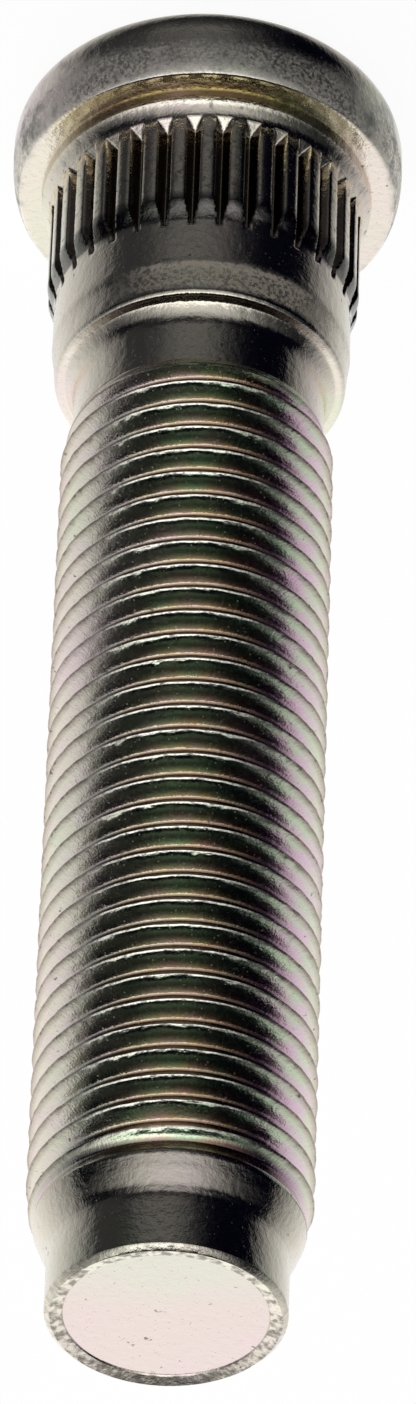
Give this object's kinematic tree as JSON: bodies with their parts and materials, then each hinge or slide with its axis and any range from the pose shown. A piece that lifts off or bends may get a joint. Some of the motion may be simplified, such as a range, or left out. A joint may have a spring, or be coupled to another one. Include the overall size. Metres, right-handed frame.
{
  "type": "wheel stud",
  "caption": "Serrated press-in wheel stud: round head, serrated band, plain shoulder, long right-hand fine thread and a plain pilot tip.",
  "frame": {"origin": "centre of the outer face of the head, the face the stud stands on", "axes": "+Z along the shank from the head to the pilot tip; -Y is the side the picture shows"},
  "size_m": [0.0202, 0.0202, 0.0756],
  "materials": {
    "zinc_plate": "iridescent yellow zinc plate on steel, satin, with small pits and worn thread crests"
  },
  "bodies": {
    "root": {"wheel_stud": "zinc_plate"}
  },
  "joints": []
}
